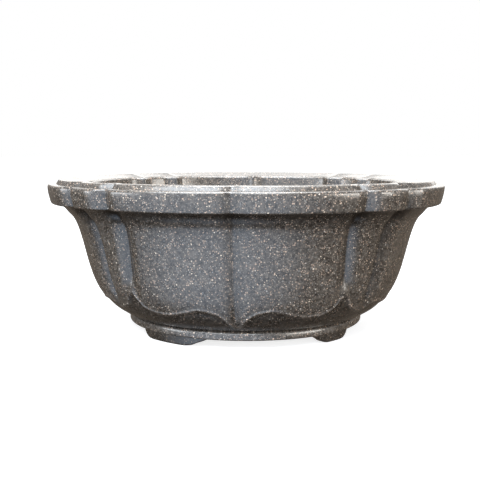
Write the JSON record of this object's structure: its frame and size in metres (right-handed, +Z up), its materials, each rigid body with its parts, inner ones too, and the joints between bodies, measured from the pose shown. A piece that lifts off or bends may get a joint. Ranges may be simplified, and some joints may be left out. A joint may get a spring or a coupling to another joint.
{
  "type": "bonsai pot",
  "caption": "Oval lobed bonsai pot in speckled stoneware: projecting rim band, raised inner lip, petal-edged wall, foot ring and low bracket feet.",
  "frame": {"origin": "on the table under the middle of the pot", "axes": "+Z up, +X along the long axis of the oval, -Y towards the front"},
  "size_m": [0.2988, 0.2532, 0.1146],
  "materials": {
    "wall": "semi-gloss speckled stoneware",
    "floor": "matt speckled stoneware",
    "rim": "semi-gloss speckled stoneware",
    "lip": "semi-gloss speckled stoneware",
    "ring": "semi-gloss speckled stoneware",
    "feet": "satin speckled stoneware"
  },
  "bodies": {
    "root": {"wall_shell": "wall", "floor_slab": "floor", "rim_band": "rim", "inner_lip": "lip", "foot_ring": "ring", "foot_front_left": "feet", "foot_front_right": "feet", "foot_back_left": "feet", "foot_back_right": "feet"}
  },
  "joints": []
}
